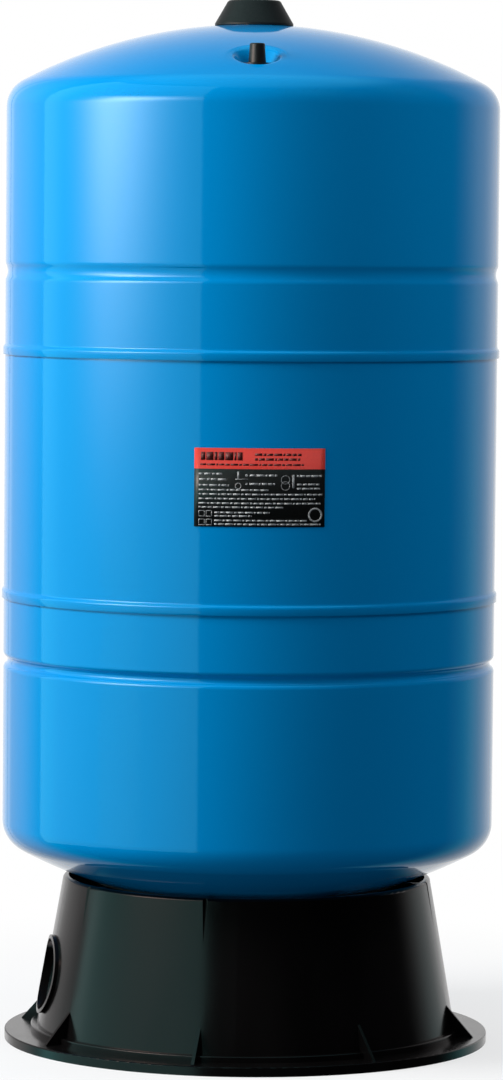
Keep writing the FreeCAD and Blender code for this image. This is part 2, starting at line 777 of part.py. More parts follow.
def make_crown_cap():
    inner_base = S["cap_radius"] - S["cap_wall"]
    base = upper_centre + side_of_triangle(S["crown_radius"], inner_base) + S["cap_play"]
    roof = base + S["cap_height"] - S["cap_wall"]
    grip = S["boss_head"] + S["cap_play"]
    tube_end = crown_top + S["boss_flange_height"] + S["cap_tube"]
    return turned_piece("crown_cap", [
        (inner_base, base),
        (S["cap_radius"], base),
        (S["cap_radius"], base + S["cap_edge"]),
        (S["cap_shoulder"], base + S["cap_shoulder_height"]),
        (S["cap_flat"], base + S["cap_height"], S["cap_round"], LEFT),
        (0, base + S["cap_height"]),
        (0, roof),
        (grip, roof),
        (grip, tube_end),
        (grip + S["cap_tube"], tube_end),
        (grip + S["cap_tube"], roof),
        (S["cap_shoulder"] - S["cap_wall"], roof),
        (inner_base, base + S["cap_edge"]),
    ])


def make_valve():
    """Stem, seal, washer, nut and dust cap. Heights count from the pressed flat."""
    wall = S["shell_wall"]
    flange_high = -(wall + S["seal_height"])
    flange_low = flange_high - S["stem_flange_height"]
    around = S["stem_radius"] + S["layer_gap"]
    stem = turned_piece("valve_stem", [
        (S["tail_bore"], -S["stem_tail"]),
        (S["tail_radius"], -S["stem_tail"]),
        (S["tail_radius"], flange_low),
        (S["stem_flange"], flange_low),
        (S["stem_flange"], flange_high),
        (S["stem_radius"], flange_high),
        (S["stem_radius"], S["stem_top"]),
        (S["core_bore"], S["stem_top"]),
        (S["core_bore"], flange_low),
        (S["tail_bore"], flange_low),
    ])
    seal = turned_piece("valve_seal", ring_path(around, S["stem_flange"] - S["seal_inset"],
                                                flange_high, -wall))
    washer = turned_piece("valve_washer", ring_path(around, S["washer_radius"], as_size(0),
                                                    S["washer_height"]))
    nut = new_body("valve_nut")
    pad(nut, outline(nut, "valve_nut_section", "XY_Plane", hexagon(S["nut_flats"]),
                     lift=S["washer_height"]), S["nut_height"])
    hole = ring_path(as_size(0), around, S["washer_height"], S["washer_height"] + S["nut_height"])
    revolve(nut, outline(nut, "valve_nut_hole", "XZ_Plane", hole), "PartDesign::Groove")
    base = S["washer_height"] + S["cap_play"]
    top = base + S["dust_cap_height"]
    thread = S["stem_radius"] + S["cap_play"]
    room = S["nut_flats"] / root(as_size(3)) + S["cap_play"]
    room_top = S["washer_height"] + S["nut_height"] + S["cap_play"]
    cap = turned_piece("valve_cap", [
        (room, base),
        (S["dust_cap_base"], base),
        (S["dust_cap_top"], top - S["dust_cap_round"]),
        (S["dust_cap_top"] - S["dust_cap_round"], top, S["dust_cap_round"], LEFT),
        (0, top),
        (0, top - S["dust_cap_roof"]),
        (thread, top - S["dust_cap_roof"]),
        (thread, room_top),
        (room, room_top),
    ])
    under_roof = top - S["dust_cap_roof"]
    cap_seal = turned_piece("cap_seal", ring_path(as_size(0), S["stem_radius"],
                                                  under_roof - S["cap_seal_height"], under_roof))
    return [stem, seal, washer, nut, cap, cap_seal]


def make_valve_core():
    """Plug, pin, rubber seat, spring and sealing ring. Heights count from the pressed flat."""
    top = S["stem_top"] - S["core_depth"]
    plug_low = top - S["core_plug_height"]
    low = plug_low - S["core_barrel_length"]
    way = S["pin_radius"] + S["pin_play"]
    core = turned_piece("core_body", [
        (way, low),
        (S["core_barrel"], low),
        (S["core_barrel"], plug_low),
        (S["core_plug"], plug_low),
        (S["core_plug"], top),
        (way, top),
        (way, plug_low),
        (S["core_barrel_bore"], plug_low),
        (S["core_barrel_bore"], low + S["core_ledge"]),
        (way, low + S["core_ledge"]),
    ])
    collar_high = plug_low - S["pin_collar_drop"]
    collar_low = collar_high - S["pin_collar_height"]
    pin = turned_piece("core_pin", [
        (0, low - S["cup_height"]),
        (S["pin_radius"], low - S["cup_height"]),
        (S["pin_radius"], collar_low),
        (S["pin_collar"], collar_low),
        (S["pin_collar"], collar_high),
        (S["pin_radius"], collar_high),
        (S["pin_radius"], top),
        (0, top),
    ])
    cup = turned_piece("core_cup", ring_path(S["pin_radius"], S["cup_radius"], low - S["cup_height"], low))
    ring_low = low + S["core_ring_lift"]
    ring = turned_piece("core_ring", ring_path(S["core_barrel"], S["core_bore"], ring_low,
                                               ring_low + S["core_ring_height"]))
    spring = new_body("core_spring")
    first = low + S["core_ledge"] + S["spring_wire"] / 2
    last = collar_low - S["spring_wire"] / 2
    wire = circle_sketch(spring, "core_spring_wire", "XZ_Plane", S["spring_wire"] / 2,
                         centre=(S["spring_radius"], first))
    doc.recompute()
    coil = spring.newObject("PartDesign::AdditiveHelix", "core_spring_coil")
    coil.Profile = wire
    coil.ReferenceAxis = (wire, ["V_Axis"])
    coil.Mode = "height-turns-angle"
    bind(coil, "Height", last - first)
    bind(coil, "Turns", S["spring_turns"])
    return [core, pin, cup, ring, spring]


def make_label():
    """Thin film on the front of the middle shell."""
    body = new_body("label")
    middle = lower_lap + S["label_rise"]
    low = middle - S["label_height"] / 2
    high = middle + S["label_height"] / 2
    back = shell_radius + S["label_glue"]
    film = revolve(body, outline(body, "label_section", "XZ_Plane",
                                 ring_path(back, back + S["label_film"], low, high)))
    film.Midplane = True
    bind(film, "Angle", turn_of(S["label_width"], back))
    place(body, turn=S["label_azimuth"] + QUARTERS)
    return body


def polar(body, feature, name):
    """Repeats a feature round the tank's axis."""
    pattern = body.newObject("PartDesign::PolarPattern", name)
    pattern.Originals = [feature]
    pattern.Axis = (origin_feature(body, "Z_Axis"), [""])
    pattern.Angle = 360
    bind(pattern, "Occurrences", S["rib_count"])
    body.Tip = pattern
    return pattern


def make_stand():
    """One moulding: sloping wall, step, flange, seat ring, webs, gussets, flutes and lipped port."""
    body = new_body("stand_blank")
    under_plate = S["flange_top"] - S["flange_plate"]
    lip_line = flange_radius - S["flange_lip"]
    step_line = foot_radius + S["step_width"]
    lead = S["rim_round"] * tangent((90 - S["stand_draft"]) / 2)
    revolve(body, outline(body, "stand_profile", "XZ_Plane", [
        (foot_radius - stand_across, 0),
        (foot_radius, 0),
        (foot_radius, under_plate),
        (lip_line, under_plate),
        (lip_line, 0),
        (flange_radius, 0),
        (flange_radius, S["flange_top"] - S["edge_round"]),
        (flange_radius - S["edge_round"], S["flange_top"], S["edge_round"], LEFT),
        (step_line, S["flange_top"]),
        (step_line, S["step_height"] - S["step_round"]),
        (step_line - S["step_round"], S["step_height"], S["step_round"], LEFT),
        (stand_line(S["step_height"]), S["step_height"]),
        (rim_radius + lead * sine(S["stand_draft"]), S["stand_height"] - lead * cosine(S["stand_draft"])),
        (rim_radius - lead, S["stand_height"], S["rim_round"], LEFT),
        (rim_radius - stand_across, S["stand_height"]),
    ], swing=SEAM))
    glue = S["bead_thickness"]
    seat_outer = seat_radius + S["seat_wall"]
    revolve(body, outline(body, "seat_profile", "XZ_Plane", [
        (seat_radius, seat_bottom),
        (seat_outer, seat_bottom),
        (seat_outer, dome_height(seat_outer, glue)),
        (seat_radius, dome_height(seat_radius, glue), S["crown_radius"] + glue, RIGHT),
    ], swing=SEAM))
    web_top = S["stand_height"] - S["web_drop"]
    web_inner = seat_radius + S["seat_wall"] / 2
    under = glue + S["web_clearance"]
    meeting = side_of_triangle(S["crown_radius"] + under, lower_centre - web_top)
    web = pad(body, outline(body, "web_profile", "XZ_Plane", [
        (web_inner, seat_bottom),
        (stand_line(seat_bottom) - stand_across / 2, seat_bottom),
        (stand_line(web_top) - stand_across / 2, web_top),
        (meeting, web_top),
        (web_inner, dome_height(web_inner, under), S["crown_radius"] + under, RIGHT),
    ]), S["web_wall"], both_ways=True)
    polar(body, web, "webs")
    in_plate = S["flange_top"] - S["flange_plate"] / 2
    gusset_end = flange_radius - S["gusset_inset"]
    gusset = pad(body, outline(body, "gusset_profile", "XZ_Plane", [
        (stand_line(S["gusset_top"]) - stand_across / 2, S["gusset_top"]),
        (foot_radius - stand_across / 2, in_plate),
        (gusset_end, in_plate),
        (gusset_end, S["flange_top"]),
    ]), S["gusset_wall"], both_ways=True)
    polar(body, gusset, "gussets")
    flare = S["flute_width"] / 2 / S["flute_depth"] * S["flute_reach"]
    sections = []
    for name, height, depth in (("flute_upper", S["stand_height"] + S["flute_rise"], S["flute_depth"]),
                                ("flute_lower", S["stand_height"] - S["flute_length"], as_size(0))):
        point = stand_line(height) - depth
        sections.append(outline(body, name, "XY_Plane", [
            (point, 0),
            (point + S["flute_reach"], -flare),
            (point + S["flute_reach"], flare),
        ], lift=height))
    flute = body.newObject("PartDesign::SubtractiveLoft", "flute")
    flute.Profile = sections[0]
    flute.Sections = [sections[1]]
    polar(body, flute, "flutes")
    place(body, turn=S["rib_azimuth"] + QUARTERS)

    band = new_body("port_band")
    rod_radius = S["port_radius"] + S["port_lip"]
    low = S["port_height"] - rod_radius - S["port_margin"]
    high = S["port_height"] + rod_radius + S["port_margin"]
    revolve(band, outline(band, "port_band_profile", "XZ_Plane", [
        (stand_line(low) - stand_across / 2, low),
        (stand_line(low) + S["port_rise"], low),
        (stand_line(high) + S["port_rise"], high),
        (stand_line(high) - stand_across / 2, high),
    ]))
    start = stand_line(S["port_height"] + rod_radius) - stand_across - S["port_margin"]
    cutters = []
    for name, radius in (("port_rod", rod_radius), ("port_hole", S["port_radius"])):
        cutter = new_body(name)
        sketch = circle_sketch(cutter, name + "_section", "YZ_Plane", radius, lift=start,
                               centre=(0, S["port_height"]))
        pad(cutter, sketch, foot_radius + S["port_margin"] - start)
        place(cutter, turn=S["port_azimuth"] + QUARTERS)
        cutters.append(cutter)
    lip = doc.addObject("Part::Common", "port_lip_ring")
    lip.Base = band
    lip.Tool = cutters[0]
    joined = doc.addObject("Part::Fuse", "stand_with_lip")
    joined.Base = body
    joined.Tool = lip
    stand = doc.addObject("Part::Cut", "stand")
    stand.Base = joined
    stand.Tool = cutters[1]
    return stand


def make_stand_adhesive():
    inner = seat_radius
    outer = seat_radius + S["seat_wall"]
    glue = S["bead_thickness"]
    return turned_piece("stand_adhesive", [
        (inner, dome_height(inner, glue)),
        (outer, dome_height(outer, glue), S["crown_radius"] + glue, LEFT),
        (outer, dome_height(outer, 0)),
        (inner, dome_height(inner, 0), S["crown_radius"], RIGHT),
    ])


pieces = [
    make_upper_shell(),
    make_middle_shell(),
    make_lower_shell(),
    make_water_liner(),
    make_diaphragm(),
    make_clench_ring(),
    make_water_elbow(),
    make_outlet_coupling(),
    make_crown_boss(),
    make_crown_cap(),
    make_label(),
    make_stand(),
    make_stand_adhesive(),
]
pieces += make_inlet()
for piece in make_valve() + make_valve_core():
    place(piece, x=valve_x, y=valve_y, z=dimple_floor)
    pieces.append(piece)
doc.recompute()

for item in doc.Objects:
    if "Invalid" in item.State or "Error" in item.State:
        raise RuntimeError("failed: %s %s" % (item.Name, item.State))
os.makedirs("parts", exist_ok=True)
for piece in pieces:
    if piece.Shape.isNull() or not piece.Shape.isValid() or len(piece.Shape.Solids) != 1:
        raise RuntimeError("bad shape: " + piece.Label)
    piece.Shape.exportStep("parts/%s.step" % piece.Label)
    print(piece.Label, round(piece.Shape.Volume), piece.Shape.BoundBox)
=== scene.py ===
import json
import math

import bmesh
import bpy
from mathutils import Euler, Matrix, Vector


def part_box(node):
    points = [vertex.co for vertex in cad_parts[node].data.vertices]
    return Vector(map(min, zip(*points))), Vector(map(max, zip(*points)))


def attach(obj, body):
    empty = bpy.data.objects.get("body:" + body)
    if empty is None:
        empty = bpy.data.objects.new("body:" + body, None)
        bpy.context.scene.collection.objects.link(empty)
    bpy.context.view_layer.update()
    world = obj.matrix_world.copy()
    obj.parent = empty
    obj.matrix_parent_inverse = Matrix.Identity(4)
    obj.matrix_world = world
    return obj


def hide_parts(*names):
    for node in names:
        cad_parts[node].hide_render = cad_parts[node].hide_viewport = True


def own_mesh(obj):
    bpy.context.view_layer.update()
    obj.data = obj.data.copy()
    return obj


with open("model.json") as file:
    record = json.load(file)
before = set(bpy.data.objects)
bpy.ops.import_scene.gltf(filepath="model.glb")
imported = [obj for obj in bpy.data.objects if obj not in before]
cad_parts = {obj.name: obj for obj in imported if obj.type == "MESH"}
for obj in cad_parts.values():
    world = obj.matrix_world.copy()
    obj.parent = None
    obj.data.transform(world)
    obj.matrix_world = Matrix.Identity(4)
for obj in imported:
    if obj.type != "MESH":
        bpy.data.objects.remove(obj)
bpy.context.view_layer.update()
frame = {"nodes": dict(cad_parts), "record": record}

# The camera: a long lens about four metres in front of the tank, at two thirds of its height,
# tipped down a little and rolled by half a degree. The picture is 503 by 1080 pixels.
CAMERA_SPOT = (0.00153, -3.8512, 0.6306)
CAMERA_TIP = math.radians(3.459)
CAMERA_ROLL = math.radians(0.5153)
PICTURE_HEIGHT = 1080
FOCAL_PIXELS = 4851.9
SENSOR = 36.0

camera = bpy.data.objects.new("camera", bpy.data.cameras.new("camera"))
bpy.context.scene.collection.objects.link(camera)
camera.data.sensor_fit = "VERTICAL"
camera.data.sensor_height = SENSOR
camera.data.lens = FOCAL_PIXELS / PICTURE_HEIGHT * SENSOR
upright = Euler((math.pi / 2 - CAMERA_TIP, 0, 0)).to_matrix().to_4x4()
camera.matrix_world = Matrix.Translation(CAMERA_SPOT) @ upright @ Matrix.Rotation(CAMERA_ROLL, 4, "Z")
bpy.context.scene.camera = camera
bpy.context.scene.view_settings.view_transform = "Standard"


# The studio: dark in front and white behind the tank, where the backdrop darkens upwards. The
# tank's gloss shows all of it. Azimuths count from the camera to the left, in degrees.
class Wire:
    """An output of a shader node. Arithmetic on it adds Math nodes, and add() any other node."""

    def __init__(self, tree, socket=None):
        self.tree = tree
        self.socket = socket

    def add(self, kind, settings=None, sockets=None, out=0):
        node = self.tree.nodes.new("ShaderNode" + kind)
        for name, value in (settings or {}).items():
            setattr(node, name, value)
        for name, value in (sockets or {}).items():
            if isinstance(value, Wire):
                self.tree.links.new(node.inputs[name], value.socket)
            else:
                node.inputs[name].default_value = value
        return Wire(self.tree, node.outputs[out] if node.outputs else None)

    def maths(self, operation, *values):
        return self.add("Math", {"operation": operation}, dict(enumerate(values)))

    def __add__(self, other):
        return self.maths("ADD", self, other)

    def __radd__(self, other):
        return self.maths("ADD", other, self)

    def __sub__(self, other):
        return self.maths("SUBTRACT", self, other)

    def __rsub__(self, other):
        return self.maths("SUBTRACT", other, self)

    def __mul__(self, other):
        return self.maths("MULTIPLY", self, other)

    def __rmul__(self, other):
        return self.maths("MULTIPLY", other, self)

    def __truediv__(self, other):
        return self.maths("DIVIDE", self, other)

    def step(self, low, high):
        """Smooth step from 0 at low to 1 at high."""
        return self.add("MapRange", {"interpolation_type": "SMOOTHSTEP"},
                        {"Value": self, "From Min": low, "From Max": high})

    def bump(self, middle, before, after):
        """Soft bump of 1 at the middle, with its own width on each side of it."""
        width = before + (after - before) * self.maths("GREATER_THAN", self, middle)
        share = (self - middle) / width
        return self.maths("EXPONENT", share * share * -1.0)

    def mix(self, first, second):
        """First colour where this is 0, second where it is 1."""
        return self.add("Mix", {"data_type": "RGBA"}, {0: self, 6: first, 7: second}, out=2)


def outputs(wire, *names):
    """Further outputs of the node that a wire comes from."""
    return [Wire(wire.tree, wire.socket.node.outputs[name]) for name in names]


# Every step is a share of the light and where it starts and ends, as an azimuth in degrees or as
# the upward part of the direction. A band is a middle and its widths to both sides.
LEFT_STEPS = ((0.43, 96, 108), (0.22, 112, 130), (0.35, 146, 152))
RIGHT_STEPS = ((0.6, 104, 132), (0.25, 132, 156), (0.15, 156, 176))
SEAM_SHARE = 0.7
SEAM_BAND = (154.6, 0.7, 0.7)
ALTITUDE_BAND = (0.0, 35.0, 35.0)
FILL = (0.16, 0.19, 0.22, 1)
LEFT_BEHIND = (0.6, 100, 130)
RIGHT_BEHIND = (1.0, 85, 125)
DIM_ABOVE = (0.2, 0.1, 0.7)
FLOOR_SHARE = 0.6
FLOOR_EDGE = (-0.5, 0.1)
LEFT_BLUE = (105, 14, 16)
RIGHT_BLUE = (-118, 18, 12)
RIGHT_BLUE_SHARE = 0.75
BLUE_EDGE = (-0.1, 0.05)
ZENITH = (0.9, 0.75, 0.95)
ZENITH_RED = 0.35
WHITE = (1, 1, 1, 1)
BLACK = (0, 0, 0, 1)

world = bpy.data.worlds.new("studio")
bpy.context.scene.world = world
world.use_nodes = True
world.node_tree.nodes.clear()
sky = Wire(world.node_tree)

direction = sky.add("SeparateXYZ", sockets={0: sky.add("TexCoord")})
east, north, up = outputs(direction, 0, 1, 2)
azimuth = sky.maths("ARCTAN2", east * -1.0, north * -1.0) * math.degrees(1)
altitude = sky.maths("MAXIMUM", sky.maths("ARCSINE", up) * math.degrees(1), 0.0)
backdrop = 0
for part, low, high in LEFT_STEPS:
    backdrop = part * azimuth.step(low, high) + backdrop
for part, low, high in RIGHT_STEPS:
    backdrop = backdrop + part * (azimuth * -1.0).step(low, high)
backdrop = backdrop * altitude.bump(*ALTITUDE_BAND)
backdrop = backdrop * (1 - SEAM_SHARE * azimuth.bump(*SEAM_BAND))
rays = sky.add("LightPath")
to_camera, glossy, through = outputs(rays, "Is Camera Ray", "Is Glossy Ray", "Is Transmission Ray")
mirrored = sky.maths("MAXIMUM", glossy, through)
behind = (LEFT_BEHIND[0] * azimuth.step(*LEFT_BEHIND[1:])
          + RIGHT_BEHIND[0] * (azimuth * -1.0).step(*RIGHT_BEHIND[1:]))
behind = behind * (1 - DIM_ABOVE[0] * up.step(*DIM_ABOVE[1:]))
from_above = up.step(*FLOOR_EDGE) * (1 - FLOOR_SHARE) + FLOOR_SHARE
for_diffuse = from_above.mix(BLACK, behind.mix(FILL, WHITE))
blue = azimuth.bump(*LEFT_BLUE) + RIGHT_BLUE_SHARE * azimuth.bump(*RIGHT_BLUE)
zenith = ZENITH[0] * up.step(*ZENITH[1:])
red = backdrop * (1 - blue * (1 - up.step(*BLUE_EDGE))) + zenith * ZENITH_RED
backdrop = backdrop + zenith
for_gloss = sky.add("CombineColor", sockets={0: red, 1: backdrop, 2: backdrop})
light = to_camera.mix(mirrored.mix(for_diffuse, for_gloss), WHITE)
sky.add("OutputWorld", sockets={"Surface": sky.add("Background", sockets={"Color": light})})


def new_material(name):
    material = bpy.data.materials.new(name)
    material.use_nodes = True
    material.node_tree.nodes.clear()
    return material, Wire(material.node_tree)


# The softbox: a tall bowed screen on the left, which shows in the gloss alone. It is a bluish panel
# with a sharp right edge and a white glow in its middle. The glow is brightest level with the top
# of the tank and ends just above it, so that it doesn't whiten the dome.
SCREEN_RADIUS = 1.35
SCREEN_LOW = -0.3
SCREEN_TOP = 2.6
SCREEN_SPAN = (20.0, 106.0)
SCREEN_COLUMNS = 48
SCREEN_PEAK = 23.0
SCREEN_MIDDLE = 64.0
SCREEN_WIDTHS = (20.5, 13.5)
SCREEN_LEAN = (9.0, 0.8, 1.05)
SCREEN_EDGE = (21.1, 21.7)
SCREEN_FADE = (0.2, 1.2)
SCREEN_POWER = 1.5
SCREEN_TOP_FADE = (0.95, 1.25)
SCREEN_WARM = (1.0, 0.74, 0.66, 1)
PANEL_LIGHT = 1.2
PANEL_BLUE = (0.4, 1.0, 0.97, 1)

screen_mesh = bmesh.new()
foot = screen_mesh.verts.new((0, -SCREEN_RADIUS, SCREEN_LOW))
made = bmesh.ops.extrude_vert_indiv(screen_mesh, verts=[foot])
made["verts"][0].co.z = SCREEN_TOP
turn = Matrix.Rotation(-math.radians(SCREEN_SPAN[0]), 3, "Z")
bmesh.ops.rotate(screen_mesh, verts=screen_mesh.verts, cent=(0, 0, 0), matrix=turn)
bmesh.ops.spin(screen_mesh, geom=screen_mesh.verts[:] + screen_mesh.edges[:], cent=(0, 0, 0),
               axis=(0, 0, 1), angle=-math.radians(SCREEN_SPAN[1] - SCREEN_SPAN[0]),
               steps=SCREEN_COLUMNS)
screen_data = bpy.data.meshes.new("softbox")
screen_mesh.to_mesh(screen_data)
screen_mesh.free()
screen = bpy.data.objects.new("softbox", screen_data)
bpy.context.scene.collection.objects.link(screen)
screen.visible_camera = False
screen.visible_diffuse = False
screen.visible_shadow = False
screen.visible_transmission = False

screen_material, pen = new_material("softbox_light")
place = pen.add("SeparateXYZ", sockets={0: pen.add("TexCoord", out=3)})
east, north, up = outputs(place, 0, 1, 2)
around = pen.maths("ARCTAN2", east * -1.0, north * -1.0) * math.degrees(1)
rising = pen.maths("POWER", up.step(*SCREEN_FADE), SCREEN_POWER)
in_height = rising * (1 - up.step(*SCREEN_TOP_FADE))
leaning = around + SCREEN_LEAN[0] * up.step(*SCREEN_LEAN[1:])
shine = leaning.bump(SCREEN_MIDDLE, *SCREEN_WIDTHS) * in_height * SCREEN_PEAK
inside = around.step(*SCREEN_EDGE)
white_glow = pen.add("Emission", sockets={"Color": SCREEN_WARM, "Strength": shine * inside})
panel_glow = pen.add("Emission", sockets={"Color": PANEL_BLUE, "Strength": PANEL_LIGHT * inside})
glow = pen.add("AddShader", sockets={0: white_glow, 1: panel_glow})
clear = pen.add("BsdfTransparent")
pen.add("OutputMaterial", sockets={"Surface": pen.add("AddShader", sockets={0: glow, 1: clear})})
screen_data.materials.append(screen_material)


# The lamps: soft lamps that light the paint and shadow the floor, but show in no reflection.
def lamp(name, spot, target, size, power):
    data = bpy.data.lights.new(name, "AREA")
    data.size = size
    data.energy = power
    item = bpy.data.objects.new(name, data)
    bpy.context.scene.collection.objects.link(item)
    item.location = spot
    item.rotation_euler = (Vector(target) - Vector(spot)).to_track_quat("-Z", "Y").to_euler()
    item.visible_glossy = False
    item.visible_camera = False


lamp("key_lamp", (-1.42, -0.52, 1.45), (0, 0, 0.6), 0.8, 41)
lamp("low_lamp", (-1.2, -0.75, 0.1), (0, 0, 0.15), 0.5, 6)
lamp("front_lamp", (0.55, -1.0, 1.6), (0, 0, 0.7), 0.6, 3.8)
lamp("side_lamp", (1.2, -0.1, 1.7), (0, 0, 0.7), 0.6, 4)

# The floor: a plain pale studio floor. It keeps a soft shadow near the stand and turns plain
# white further out.
FLOOR_RADIUS = 4.0
FLOOR_CORNERS = 96
SHADOW_START = 0.22
SHADOW_END = 0.75
SHADOW_SHARE = 0.35

floor_mesh = bmesh.new()
bmesh.ops.create_circle(floor_mesh, cap_ends=True, segments=FLOOR_CORNERS, radius=FLOOR_RADIUS)
floor_data = bpy.data.meshes.new("floor")
floor_mesh.to_mesh(floor_data)
floor_mesh.free()
floor = bpy.data.objects.new("floor", floor_data)
bpy.context.scene.collection.objects.link(floor)
floor.visible_diffuse = False
floor.visible_glossy = False

floor_material, pen = new_material("pale_floor")
spot = pen.add("TexCoord", out=3)
reach = pen.add("VectorMath", {"operation": "LENGTH"}, {0: spot}, out=1)
plain = reach.step(SHADOW_START, SHADOW_END)
matt = pen.add("BsdfDiffuse", sockets={"Color": (0.8, 0.8, 0.8, 1)})
glow = pen.add("Emission", sockets={"Color": WHITE, "Strength": 1.0})
share = 1 - SHADOW_SHARE * (1 - plain)
shown = pen.add("MixShader", sockets={0: share, 1: matt, 2: glow})
pen.add("OutputMaterial", sockets={"Surface": shown})
floor_data.materials.append(floor_material)


# The shells: three pressed and rolled sheets of steel, each swaged out at its lower end over the
# next one and welded there, then painted gloss blue as one tank. The upper one has a shallow
# rolled groove and a flat pressed into its dome for the air valve, the lower one a deep groove.
class Profile:
    """A line in the XZ plane, drawn like a pen's walk, that is then turned about the Z axis."""

    def __init__(self, x, z, heading):
        self.mesh = bmesh.new()
        self.last = self.mesh.verts.new((x, 0, z))
        self.heading = heading

    def go(self, length):
        rows = max(1, round(length / ROW))
        way = Vector((math.cos(self.heading), 0, math.sin(self.heading))) * length / rows
        for row in range(rows):
            made = bmesh.ops.extrude_vert_indiv(self.mesh, verts=[self.last])
            made["verts"][0].co = self.last.co + way
            self.last = made["verts"][0]

    def bend(self, radius, turn):
        """Arc to the left, or to the right where the turn is negative."""
        side = math.copysign(math.pi / 2, turn) + self.heading
        centre = self.last.co + Vector((math.cos(side), 0, math.sin(side))) * radius
        rows = max(2, math.ceil(abs(turn) / BEND_STEP), round(radius * abs(turn) / ROW))
        made = bmesh.ops.spin(self.mesh, geom=[self.last], cent=centre, axis=(0, -1, 0),
                              angle=turn, steps=rows)
        self.last = [item for item in made["geom_last"] if isinstance(item, bmesh.types.BMVert)][0]
        self.heading += turn

    def dent(self, depth, width, shoulder):
        """Rolled groove: a shoulder, the floor and a shoulder."""
        rise = width / 2
        both = (depth * depth + rise * rise) / (2 * depth)
        turn = math.asin(rise / both)
        self.bend(shoulder, turn)
        self.bend(both - shoulder, -2 * turn)
        self.bend(shoulder, turn)

    def swage(self):
        """Widened end from its edge upwards, as high as the lap."""
        both = (LAP_STEP ** 2 + LAP_BLEND ** 2) / (2 * LAP_STEP)
        turn = math.asin(LAP_BLEND / both)
        self.go(LAP_HEIGHT - LAP_BLEND)
        self.bend(both / 2, turn)
        self.bend(both / 2, -turn)

    def turned(self, columns):
        bmesh.ops.spin(self.mesh, geom=self.mesh.verts[:] + self.mesh.edges[:], cent=(0, 0, 0),
                       axis=(0, 0, 1), angle=math.tau, steps=columns, use_merge=True)
        bmesh.ops.remove_doubles(self.mesh, verts=self.mesh.verts, dist=SAME)
        return self.mesh


def finished(name, mesh, material, body, slot, *nodes):
    """The object of a modelled piece, riding on its body in place of its CAD nodes."""
    bmesh.ops.recalc_face_normals(mesh, faces=mesh.faces)
    for face in mesh.faces:
        face.smooth = True
    data = bpy.data.meshes.new(name)
    mesh.to_mesh(data)
    mesh.free()
    data.materials.append(material)
    piece = bpy.data.objects.new(name, data)
    bpy.context.scene.collection.objects.link(piece)
    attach(piece, body)
    if nodes:
        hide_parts(*nodes)
    return piece


def sheet_metal(piece, wall):
    """Gives an open skin its wall, inwards, and shades it by its large faces."""
    thick = piece.modifiers.new("wall", "SOLIDIFY")
    thick.thickness = wall
    thick.offset = -1
    thick.use_even_offset = True
    even = piece.modifiers.new("even_shading", "WEIGHTED_NORMAL")
    even.keep_sharp = True


SAME = 1e-6
NEAR = 1e-5
ROW = 0.007
BEND_STEP = math.radians(5)
COLUMNS = 256
SHELL_RADIUS = 0.195
SHEET = 0.0015
CROWN_RADIUS = 0.388
KNUCKLE_RADIUS = 0.024
LAP_HEIGHT = 0.009
LAP_BLEND = 0.004
LAP_STEP = SHEET + 0.0001
LAP_COVER = 0.0045
UPPER_STRAIGHT = 0.1945
MIDDLE_LENGTH = 0.1925
LOWER_STRAIGHT = 0.1775
BEAD_RISE = 0.0655
BEAD = (0.0017, 0.016, 0.008)
CLENCH_DROP = 0.0495
CLENCH = (0.0033, 0.0135, 0.0045)
KNUCKLE_TURN = math.acos((SHELL_RADIUS - KNUCKLE_RADIUS) / (CROWN_RADIUS - KNUCKLE_RADIUS))
DOME_DEPTH = CROWN_RADIUS - (CROWN_RADIUS - KNUCKLE_RADIUS) * math.sin(KNUCKLE_TURN)
PAINT_BLUE = (0.0, 0.255, 0.61, 1)
PAINT_DEEP = (0.0, 0.245, 0.6, 1)

paint, pen = new_material("gloss_blue_paint")
spot = pen.add("TexCoord", out=3)
cloud = pen.add("TexNoise", {"noise_dimensions": "3D"}, {"Vector": spot, "Scale": 9.0, "Detail": 2.0})
peel = pen.add("TexNoise", {"noise_dimensions": "3D"}, {"Vector": spot, "Scale": 420.0, "Detail": 1.0})
relief = pen.add("Bump", sockets={"Strength": 0.04, "Distance": 0.0004, "Height": peel})
shader = pen.add("BsdfPrincipled", sockets={
    "Base Color": cloud.mix(PAINT_BLUE, PAINT_DEEP),
    "Roughness": 0.05 + 0.03 * cloud,
    "IOR": 1.5,
    "Specular Tint": (0.5, 0.85, 1.0, 1),
    "Normal": relief,
})
pen.add("OutputMaterial", sockets={"Surface": shader})

upper_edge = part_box("upper_shell")[0].z
upper_tangent = upper_edge + UPPER_STRAIGHT
crown_centre = upper_tangent + DOME_DEPTH - CROWN_RADIUS
profile = Profile(SHELL_RADIUS + LAP_STEP, upper_edge, math.pi / 2)
profile.swage()
profile.go(BEAD_RISE - BEAD[1] / 2 - LAP_HEIGHT)
profile.dent(*BEAD)
profile.go(UPPER_STRAIGHT - BEAD_RISE - BEAD[1] / 2)
profile.bend(KNUCKLE_RADIUS, KNUCKLE_TURN)
shell = profile.turned(COLUMNS)

# The dome goes on from the knuckle's upper loop. The flat under the air valve is pressed into it
# so far that its front edge just reaches the dome's surface, with soft rounds all the way.
VALVE_AZIMUTH = math.radians(1)
VALVE_RADIUS = 0.15
VALVE_HOLE = 0.00405
FLAT_RADIUS = 0.012
DIMPLE_RADIUS = 0.015
DIMPLE_SLOPE = math.tan(math.radians(20))
DIMPLE_CORNER = 0.0006
RIM_SOFT = 0.0015
RIM_SOFTER = 0.2
RIM_SOFTEST = 0.004
APRON_START = 0.022
APRON_RADIUS = 0.026
FINE_RING = 0.00035
WIDE_RING = 0.0026
DOME_ROWS = 28
valve = Vector((VALVE_RADIUS * math.sin(VALVE_AZIMUTH), -VALVE_RADIUS * math.cos(VALVE_AZIMUTH), 0))
dimple_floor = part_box("valve_washer")[0].z


